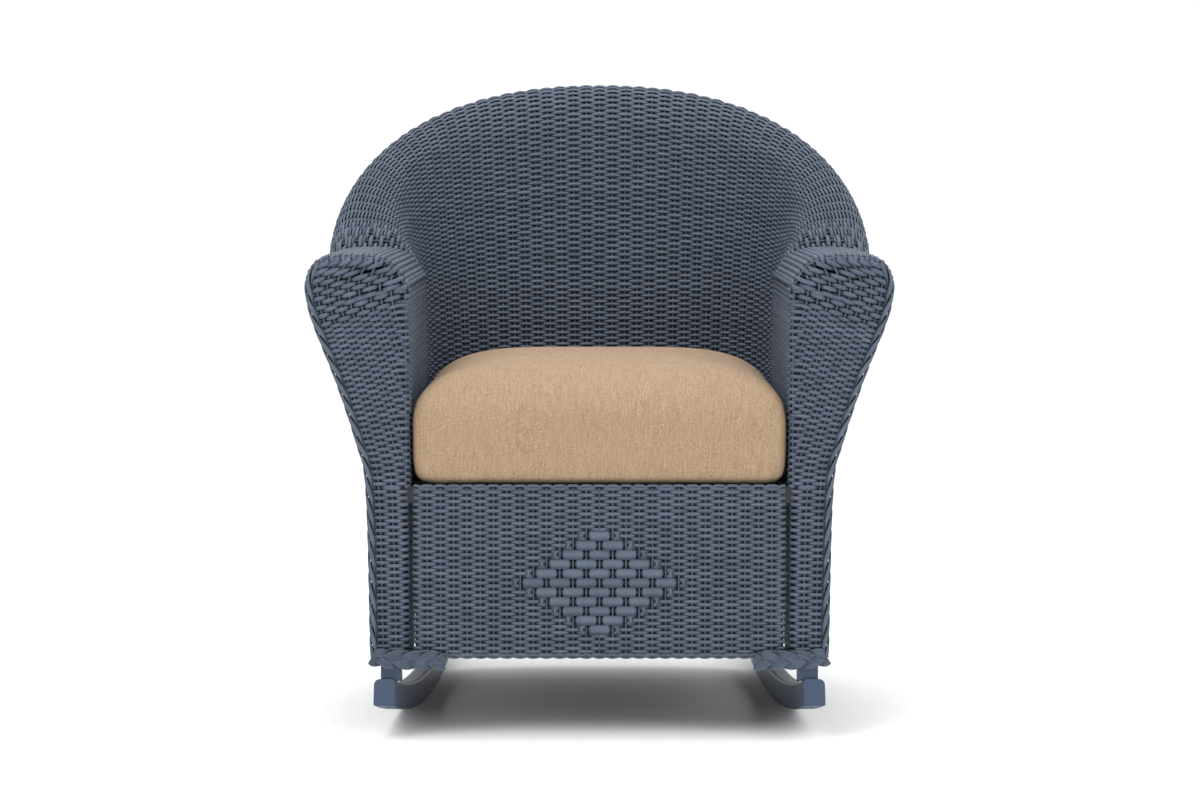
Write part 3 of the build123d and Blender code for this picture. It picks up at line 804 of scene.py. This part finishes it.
# each key: arm width, arm height, back depth, back height, plan power
outerKeys = np.array(
    [
        (0.303, 0.1125, 0.260, 0.1125, 3.0),
        (0.308, 0.335, 0.270, 0.430, 2.9),
        (0.321, 0.402, 0.285, 0.560, 2.7),
        (0.347, 0.482, 0.311, 0.690, 2.5),
        (0.378, 0.561, 0.325, 0.800, 2.3),
        (0.3864, 0.597, 0.3294, 0.852, 2.2),
    ]
)


def outerProfiles(k):
    # plan of each key line is a superellipse: x = a cos^(2/p), y = b sin^(2/p)
    angle, run = aroundRim(k)
    c, s = np.cos(angle)[:, None], np.sin(angle)[:, None]
    level = s**power
    width, armZ, depth, backZ, p = outerKeys.T
    x = (width - outer["inset"]) * np.maximum(c, 1e-9) ** (2 / p)
    y = (depth - outer["inset"]) * s ** (2 / p) - run[:, None]
    z = armZ + (backZ - armZ) * level
    return np.stack([x * np.sign(k)[:, None], y, z], -1)


outerProfile = outerProfiles(stakeNumbers)
outerLines = smoothLine(outerProfile, 10)
outerLength = alongLine(outerLines)[:, -1]
outerRowCount = int(outerLength.max() / outer["rowPitch"])
outerTable = np.stack(
    [resample(line, np.arange(outerRowCount) * outer["rowPitch"]) for line in outerLines], 1
)
outerTable[:, len(stakeNumbers) // 2, 0] = 0
outerNormal = surfaceNormals(outerTable, 1.0)
rowsOut = np.arange(outerRowCount)
rightLength = outerLength[len(stakeNumbers) // 2 :]
rightNumbers = stakeNumbers[len(stakeNumbers) // 2 :]
# the last stake each row reaches before the rim cuts it off
reachOut = np.array(
    [rightNumbers[rightLength >= (j + 0.6) * outer["rowPitch"]].max(initial=1.0) for j in rowsOut]
)
split = outer["split"]


def outerGroup(rows, first, last, steps):
    centre, normal, _, paintedLightLevel = strandRows(
        outerTable, outerNormal, rows, first, last, steps, outer["strand"], outer["wave"]
    )
    return centre, normal, outer["strand"] * 0.97, shell["thin"], shell["wide"], paintedLightLevel


def outerBack(rows):
    edge = np.minimum(reachOut[rows], split)
    return outerGroup(rows, -edge, edge, int(2 * split * 3) + 1)


def outerStakes(numbers):
    lines, facing = [], []
    centreIndex = (outerTable.shape[1] - 1) // 2
    steps = outer["stakeSteps"]
    for number in numbers:
        column = centreIndex + number * perStake
        line = outerLines[column]
        lines.append(resample(line, np.linspace(0, alongLine(line)[-1], steps)))
        facing.append(np.broadcast_to(outerNormal[0, column], (steps, 3)))
    return np.stack(lines), np.stack(facing), shell["stake"], 1.0, 1.0, stakePaintedLight


isUpper = rowsOut >= outer["firstUpperRow"]
weave("backOuterLower", [outerBack(rowsOut[~isUpper])], ["back_weave_outer"], 4)
outerNumbers = np.arange(-int(split), int(split) + 1)
weave("backOuterUpper", [outerBack(rowsOut[isUpper]), outerStakes(outerNumbers)], [], 4)
armOut = rowsOut[reachOut > split + 0.3]
sideStart, sideSteps = np.full(len(armOut), split), int((lastStake - split) * 3) + 1
sideGroups = [
    outerGroup(armOut, sideStart, reachOut[armOut], sideSteps),
    outerStakes(np.arange(int(split) + 1, lastStake + 1)),
]
weave("sideWeaveRight", sideGroups, ["side_weave_right"], 4)
weave("sideWeaveLeft", mirrored(sideGroups), ["side_weave_left"], 4)
print("outer side woven")

# apron

apron = {
    "half": 0.2465,
    "bottom": 0.1155,
    "top": 0.3375,
    "plane": -0.3875,
    "columns": 28,
    "rowPitch": 0.00418,
    "diamondHeight": 0.2115,
    "bandHeight": 0.01254,
    "edge": 0.010,
    "scallop": 0.0056,
    "hemSway": 0.0021,
    "hemGap": 0.0022,
    "topGap": 0.0016,
    "loopDepth": 0.0022,
    "backingRise": 0.0063,
    "backingDepth": 0.0056,
    "ribbonPitch": 0.0115,
    "ribbonDepth": 0.0050,
    "ribbonHalf": 0.0062,
}
halfColumns = apron["columns"] // 2
apronPitch = 2 * apron["half"] / apron["columns"]
apronRows = int((apron["top"] - apron["bottom"]) / apron["rowPitch"])
middleRow = int(round((apron["diamondHeight"] - apron["bottom"]) / apron["rowPitch"]))
bandReach = 5
rowsPerBand = 3


def apronGroups():
    # plain weave with wave = cos(pi (stake + row)), its ends bent round a quarter circle; in the
    # diamond the rows start where the flat bands end
    groups = []
    rowOf = np.arange(apronRows + 1)
    band = np.round((rowOf - middleRow) / rowsPerBand).astype(int)
    isBand = np.abs(band) <= bandReach
    reach = np.where(isBand, bandReach + 1 - np.abs(band), 0) + 0.1
    bottom = apron["bottom"]
    for side in (-1, 1):
        for inDiamond in (False, True):
            rows = rowOf[isBand == inDiamond]
            start = reach[rows] if inDiamond else np.zeros(len(rows))
            k = start[:, None] + (halfColumns - start)[:, None] * np.linspace(0, 1, 57)
            x = side * k * apronPitch
            over = np.abs(x) - (apron["half"] - apron["edge"])
            bend = np.clip(over / apron["edge"], 0, 1) * np.pi / 2
            y = apron["plane"] + apron["edge"] * (1 - np.cos(bend))
            x = np.where(
                over > 0,
                side * (apron["half"] - apron["edge"] + apron["edge"] * np.sin(bend)),
                x,
            )
            z = bottom + rows[:, None] * apron["rowPitch"] + 0 * x
            point = np.stack([x, y, z], -1)
            normal = np.stack([side * np.sin(bend), -np.cos(bend), 0 * bend], -1)
            wave = np.cos(np.pi * (k + rows[:, None]))
            parts = [part[:, ::side] for part in (point, normal, wave)]
            groups.append(wovenGroup(*parts, shell["strand"]))
    # the flat bands of the diamond: a squared wave over every second stake
    for b in range(-bandReach, bandReach + 1):
        span = bandReach + 1 - abs(b)
        k = np.linspace(-span - 0.45, span + 0.45, 40 * span + 1)
        squared = np.clip(5.0 * (np.cos(np.pi * (k + span + 1)) + 0.70), -1, 1)
        x = k * apronPitch
        y = apron["plane"] - 0.0006 - 0.0024 * squared
        z = bottom + (middleRow + rowsPerBand * b) * apron["rowPitch"] + 0 * x
        line = np.stack([x, y, z], -1)[None]
        normal = towardFront(line)
        # painted shade: the band darkens where its squared wave takes it behind a stake
        paintedLightLevel = 0.32 + 0.2 * squared[None]
        groups.append((line, normal, apron["bandHeight"] / 2, 0.2, 1.1, paintedLightLevel))
        # a flat layer behind, half a band higher, closes the joints between the bands; painted
        # shade: it is coloured almost the full painted-shade colour
        behind = line + np.array([0.0, 0, apron["backingRise"]])
        behind[..., 1] = apron["plane"] + apron["backingDepth"]
        groups.append((behind, normal, apron["bandHeight"] / 2, 0.12, 1.1, 0.2))
    # flat ribbons behind the whole sheet, in the full painted-shade colour: a dark sheet as
    # painted shade
    ribbon = np.arange(0.002, apron["top"] - bottom, apron["ribbonPitch"])[:, None]
    x = np.linspace(-1, 1, 29) * (apron["half"] - 0.0012)
    depth = apron["plane"] + apron["ribbonDepth"]
    line = np.stack(np.broadcast_arrays(x, depth, bottom + ribbon), -1)
    groups.append((line, towardFront(line), apron["ribbonHalf"], 0.1, 1.0, 0.0))
    # the stakes
    numbers = np.arange(1 - halfColumns, halfColumns)
    height = np.linspace(bottom - 0.002, apron["top"] + 0.001, 40)
    line = np.stack(
        np.broadcast_arrays(numbers[:, None] * apronPitch, apron["plane"], height[None]), -1
    )
    groups.append((line, towardFront(line), shell["stake"], 1.0, 1.0, stakePaintedLight))
    # hem and top edge are pairs of strands with c = cos(pi (stake + phase)): z sways with c at
    # the hem and arcs with clip((c + 0.35) / 1.1)^0.6 over the stakes at the top
    hem = (bottom - apron["hemGap"], apron["hemSway"], 0.0)
    top = (apron["top"] - apron["topGap"], 0.0, apron["scallop"])
    for height, sway, arc in (hem, top):
        for phase in (0, 1):
            k = np.linspace(-halfColumns, halfColumns, 225)
            c = np.cos(np.pi * (k + phase))
            z = height + sway * c + arc * np.clip((c + 0.35) / 1.1, 0, 1) ** 0.6
            y = apron["plane"] - apron["loopDepth"] * c
            line = np.stack([k * apronPitch, y, z], -1)[None]
            groups.append((line, towardFront(line), shell["strand"], 1.0, 1.0, 0.7))
    return groups


weave("apronWeave", apronGroups(), ["apron_weave"])
print("apron woven")

# painted shade: dark ribbons behind the outer sheet
outerRows = np.arange(2, shadeRibbon["outerTopRow"], shadeRibbon["everyRow"])
weave("outerShadeRibbons", [shadeRibbonGroup(outerTable, outerNormal, outerRows)], [], 4)

# braids

# each rope: turn length, spread, strand radius, flatness; rim and hem follow
# x = half * cos^(2/p), y = depth * sin^(2/p)
braid = {
    "rimRope": (0.075, 0.0030, 0.0023, 0.62),
    "armRope": (0.085, 0.0029, 0.0023, 0.75),
    "hemRope": (0.052, 0.0032, 0.0030, 0.7),
    "ropeStrands": 3,
    "plaitTurn": 0.070,
    "plaitWidth": 0.0078,
    "plaitThick": 0.0022,
    "plySize": 0.00115,
    "plySpacing": 1.9,
    "plies": 5,
    "rimHalf": 0.3845,
    "rimDepth": 0.3335,
    "rimArm": 0.601,
    "rimTop": 0.855,
    "hemHalf": 0.2985,
    "hemDepth": 0.2585,
    "hemHeight": 0.105,
    "hemCurve": 3.0,
}


def ropeGroups(path, outward, rope):
    # strand i = path + spread (cos(w s + f) N + 1.25 sin(w s + f) B), w one turn per turn length
    turnLength, spread, size, thin = rope
    strands = braid["ropeStrands"]
    whole = alongLine(path)[-1]
    steps = max(24, int(whole / 0.004))
    share = np.linspace(0, whole, steps)
    line = resample(path, share)
    facing = unit(resample(outward, np.linspace(0, alongLine(outward)[-1], steps)))
    if alongLine(outward)[-1] < 1e-6:
        # the way out is the same all along
        facing = np.broadcast_to(unit(outward[0]), line.shape)
    tangent = unit(np.gradient(line, axis=0))
    side = unit(np.cross(tangent, facing))
    facing = np.cross(side, tangent)
    groups = []
    for i in range(strands):
        a = 2 * np.pi * (share / turnLength + i / strands)
        away = np.cos(a)[:, None] * facing * spread + np.sin(a)[:, None] * side * spread * 1.25
        centre = (line + away)[None]
        normal = unit(np.cos(a)[:, None] * facing + np.sin(a)[:, None] * side)[None]
        # painted shade: each strand darkens where it turns away to the back of the rope
        groups.append((centre, normal, size, thin, 1.3, 0.34 + 0.3 * np.cos(a)[None]))
    return groups


def plaitGroups(path, facing):
    # three-strand plait: across = A sin(a), depth = D sin(2a), a = w s + strand phase; the plies
    # lie side by side, square to their strand's run
    turnLength, width, thick = braid["plaitTurn"], braid["plaitWidth"], braid["plaitThick"]
    size, plies = braid["plySize"], braid["plies"]
    spacing = size * braid["plySpacing"]
    whole = alongLine(path)[-1]
    steps = max(30, int(whole / 0.0022))
    share = np.linspace(0, whole, steps)
    line = resample(path, share)
    front = np.broadcast_to(facing, line.shape)
    tangent = unit(np.gradient(line, axis=0))
    side = unit(np.cross(tangent, front))
    groups = []
    for i in range(3):
        a = 2 * np.pi * (share / turnLength + i / 3)
        for ply in range(plies):
            off = (ply - (plies - 1) / 2) * spacing
            across = width * np.sin(a)
            slope = width * np.cos(a) * 2 * np.pi / turnLength
            lean = 1 / np.sqrt(1 + slope**2)
            centre = (
                line
                + side * (across + off * lean)[:, None]
                - tangent * (off * slope * lean)[:, None]
                + front * (thick * np.sin(2 * a))[:, None]
            )
            # painted shade: each ply darkens where the plait takes it back
            paintedLightLevel = 0.6 + 0.3 * np.sin(2 * a)[None]
            groups.append((centre[None], front[None], size, 1.0, 1.0, paintedLightLevel))
    return groups


angle, run = aroundRim(stakeNumbers)
level = np.sin(angle) ** power
across = np.maximum(np.cos(angle), 0)
ropePath = np.stack(
    [
        np.sign(stakeNumbers) * braid["rimHalf"] * across**power,
        braid["rimDepth"] * level - run,
        braid["rimArm"] + (braid["rimTop"] - braid["rimArm"]) * level,
    ],
    -1,
)
ropeOut = unit(
    np.stack([ropePath[:, 0], np.where(run > 0, 0, ropePath[:, 1]), 0 * level], -1)
)
rimRope = ropeGroups(ropePath, ropeOut, braid["rimRope"])
weave("rimBraid", rimRope, ["rim_braid"], 8)

contourOut = smoothLine(
    np.array(
        [
            (0.3005, -0.3895, 0.112),
            (0.3055, -0.3895, 0.335),
            (0.319, -0.3895, 0.402),
            (0.345, -0.3895, 0.482),
            (0.3755, -0.3895, 0.561),
            (0.384, -0.3895, 0.599),
            (0.382, -0.3890, 0.618),
            (0.3715, -0.3880, 0.636),
        ]
    ),
    10,
)
ropeFacing = np.array([[0.35, -1.0, 0.0]] * 2)
armRope = ropeGroups(contourOut, ropeFacing, braid["armRope"])
weave("armBraidRight", armRope, ["arm_braid_right"], 8)
weave("armBraidLeft", mirrored(armRope), ["arm_braid_left"], 8)

hemPower = 2 / braid["hemCurve"]
hemPath = np.stack(
    [
        np.sign(stakeNumbers) * braid["hemHalf"] * across**hemPower,
        braid["hemDepth"] * np.sin(angle) ** hemPower - run,
        braid["hemHeight"] + 0 * run,
    ],
    -1,
)
hemOut = unit(hemPath * np.array([1.0, 1.0, 0]) + np.array([0, 1.0, 0]) * run[:, None])
hemRope = ropeGroups(hemPath, hemOut, braid["hemRope"])
weave("hemBraid", hemRope, ["hem_braid"], 8)

footPath = smoothLine(
    np.array(
        [
            (0.303, -0.386, 0.114),
            (0.298, -0.3930, 0.1125),
            (0.284, -0.3965, 0.111),
            (0.262, -0.3965, 0.1095),
            (0.238, -0.3965, 0.109),
            (0.218, -0.3960, 0.108),
            (0.206, -0.3935, 0.108),
        ]
    ),
    8,
)
footPlait = plaitGroups(footPath, facingFront)
weave("footBraidRight", footPlait, ["foot_braid_right"], 6)
weave("footBraidLeft", mirrored(footPlait), ["foot_braid_left"], 6)
print("braids laid")

# cushion

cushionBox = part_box("cushion_cover")
cushion = {
    "halfWidth": 0.2520,
    "front": -0.3955,
    "back": 0.170,
    "low": 0.3405,
    "high": 0.5030,
    "voxel": 0.0066,
    "pressure": 4.0,
    "frontCorner": 24.0,
    "rearCorner": 8.0,
    "spare": 0.0035,
    "topPower": 3.3,
    "topRise": 2.6,
    "lowPower": 36.0,
    "lowRise": 5.0,
    "waist": 0.420,
    "ringSteps": 160,
    "heightSteps": 60,
    "frames": 20,
    "puffCap": 0.003,
}


def cushionStart(shape):
    # pillow: plan |x|^p + |y|^p = 1 with p larger in front, section |r|^q + |z|^h = 1 with q and
    # h larger below the waist
    n, m = shape["ringSteps"], shape["heightSteps"]
    u = np.linspace(0, 2 * np.pi, n, endpoint=False)
    v = np.linspace(-np.pi / 2, np.pi / 2, m)

    def signedPower(value, exponent):
        return np.sign(value) * np.abs(value) ** exponent

    midY = (shape["front"] + shape["back"]) / 2
    halfY = (shape["back"] - shape["front"]) / 2
    midZ = shape["waist"]
    halfZ = np.where(v > 0, shape["high"] - midZ, midZ - shape["low"])[:, None]
    edge = np.where(v > 0, shape["topPower"], shape["lowPower"])
    ringR = signedPower(np.cos(v), 2 / edge)[:, None]
    ringR[[0, -1]] = 0.001  # small rings that the voxel mesh closes
    corner = np.where(u > np.pi, shape["frontCorner"], shape["rearCorner"])
    planX = signedPower(np.cos(u), 2 / corner)
    planY = signedPower(np.sin(u), 2 / corner)
    x = shape["halfWidth"] * ringR * planX
    y = midY + halfY * ringR * planY
    rise = np.where(v > 0, shape["topRise"], shape["lowRise"])
    z = midZ + halfZ * signedPower(np.sin(v), 2 / rise)[:, None] + 0 * x
    verts = np.stack([x, y, z], -1).reshape(-1, 3)
    index = np.arange(n * m).reshape(m, n)
    turned = np.roll(index, -1, 1)
    quads = np.stack([index[:-1], turned[:-1], turned[1:], index[1:]], -1).reshape(-1, 4)
    return verts, quads


verts, quads = cushionStart(cushion)
mesh = bpy.data.meshes.new("cushionCover")
mesh.from_pydata(verts.tolist(), [], quads.tolist())
mesh.update()
pillow = bpy.data.objects.new("cushionCover", mesh)
bpy.context.scene.collection.objects.link(pillow)
bpy.context.view_layer.objects.active = pillow
remesh = pillow.modifiers.new("remesh", "REMESH")
remesh.mode = "VOXEL"
remesh.voxel_size = cushion["voxel"]
bpy.ops.object.modifier_apply(modifier="remesh")


def puff(obj, shape):
    # inner pressure on cloth for a few frames, no gravity; then the movement is capped
    before = np.zeros(len(obj.data.vertices) * 3)
    obj.data.vertices.foreach_get("co", before)
    modifier = obj.modifiers.new("cloth", "CLOTH")
    settings = modifier.settings
    settings.use_pressure = True
    settings.uniform_pressure_force = shape["pressure"]
    settings.effector_weights.gravity = 0
    settings.quality = 5
    settings.tension_stiffness = 30
    settings.compression_stiffness = 30
    settings.bending_stiffness = 2
    modifier.point_cache.frame_start = 1
    modifier.point_cache.frame_end = shape["frames"]
    for number in range(1, shape["frames"] + 1):
        bpy.context.scene.frame_set(number)
    bpy.ops.object.modifier_apply(modifier="cloth")
    bpy.context.scene.frame_set(1)
    after = np.zeros_like(before)
    obj.data.vertices.foreach_get("co", after)
    move = (after - before).reshape(-1, 3)
    size = np.linalg.norm(move, axis=1, keepdims=True)
    move = move * np.minimum(1, shape["puffCap"] / np.maximum(size, 1e-9))
    obj.data.vertices.foreach_set("co", (before + move.ravel()).astype(np.float32))
    obj.data.update()


puff(pillow, cushion)
inside = np.zeros(len(pillow.data.vertices) * 3)
pillow.data.vertices.foreach_get("co", inside)
inside = inside.reshape(-1, 3)
low, high = np.array(cushionBox[0]), np.array(cushionBox[1])
inside = np.clip(inside, low - cushion["spare"], high + cushion["spare"])
pillow.data.vertices.foreach_set("co", inside.astype(np.float32).ravel())
pillow.data.polygons.foreach_set("use_smooth", np.ones(len(pillow.data.polygons), bool))
pillow.data.update()
divide = pillow.modifiers.new("divide", "SUBSURF")
divide.levels = 1
divide.render_levels = 1
pillow.data.materials.clear()
dress(pillow, cloth, "cushion", ["cushion_cover", "cushion_foam"])
print("cushion filled")

# carried-over parts

for name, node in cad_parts.items():
    if node.hide_render:
        continue
    chosen = paint
    if name == "rocker_bolts" or name == "cushion_zip":
        chosen = steel
    elif name.endswith("webbing"):
        chosen = webbing
    # painted shade: near-black frame parts in the dark gaps
    elif name in ("seat_frame", "apron_rail", "hem_rail"):
        chosen = shadedFramePaint
    node.data.materials.clear()
    node.data.materials.append(chosen)
print("parts painted")

# stage

floorMesh = bpy.data.meshes.new("floor")
floorMesh.from_pydata(
    [(-30, -30, 0), (30, -30, 0), (30, 30, 0), (-30, 30, 0)], [], [(0, 1, 2, 3)]
)
floor = bpy.data.objects.new("floor", floorMesh)
bpy.context.scene.collection.objects.link(floor)
floorMaterial, _, _, floorShader = newMaterial("paleFloor", 0.9, 0, 0.1)
floorShader.inputs["Base Color"].default_value = (0.96, 0.96, 0.96, 1)
floor.data.materials.append(floorMaterial)

world = bpy.data.worlds.new("studio")
bpy.context.scene.world = world
world.use_nodes = True
background = world.node_tree.nodes["Background"]
background.inputs["Color"].default_value = (1.0, 1.0, 1.0, 1)
background.inputs["Strength"].default_value = 1.05

lamps = [
    ("keyLamp", (-1.6, -2.6, 2.8), 2.2, 60),
    ("fillLamp", (2.4, -2.2, 1.9), 2.2, 30),
    ("topLamp", (0.0, 0.2, 3.2), 2.4, 48),
]
for name, place, size, watts in lamps:
    light = bpy.data.lights.new(name, "AREA")
    light.shape = "DISK"
    light.size = size
    light.energy = watts
    lamp = bpy.data.objects.new(name, light)
    lamp.location = place
    aim = Vector((0, -0.05, 0.45)) - Vector(place)
    lamp.rotation_euler = aim.to_track_quat("-Z", "Y").to_euler()
    bpy.context.scene.collection.objects.link(lamp)

bpy.context.scene.view_settings.view_transform = "Standard"
camera = bpy.data.cameras.new("camera")
camera.sensor_width = 36
camera.lens = 95.5
cameraObject = bpy.data.objects.new("camera", camera)
cameraObject.location = (0.0007, -4.592, 0.759)
cameraObject.rotation_euler = (math.radians(90 - 4.15), 0, 0)
bpy.context.scene.collection.objects.link(cameraObject)
bpy.context.scene.camera = cameraObject

print("scene ready")
